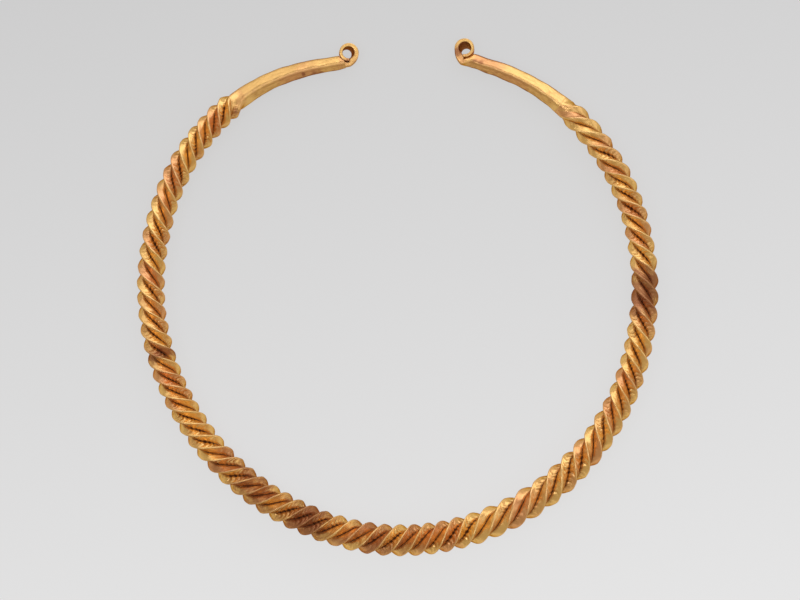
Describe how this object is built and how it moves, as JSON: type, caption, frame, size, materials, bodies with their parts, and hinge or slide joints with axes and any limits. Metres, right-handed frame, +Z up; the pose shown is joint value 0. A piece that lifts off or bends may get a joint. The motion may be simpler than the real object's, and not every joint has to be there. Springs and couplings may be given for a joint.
{
  "type": "celtic gold torc",
  "caption": "Open neck ring of twisted square gold bar with a chased seam along each face, ending in plain bars that are rolled into small eyes.",
  "frame": {"origin": "middle of the torc's outline, on the surface that it lies on", "axes": "+Z up, out of the plane of the hoop; +Y from the middle towards the gap between the two eyes"},
  "size_m": [0.145, 0.1438, 0.009],
  "materials": {
    "gold": "worn old gold, softly bright on the crests, with reddish brown patina in the seams"
  },
  "bodies": {
    "root": {"torc": "gold"}
  },
  "joints": []
}
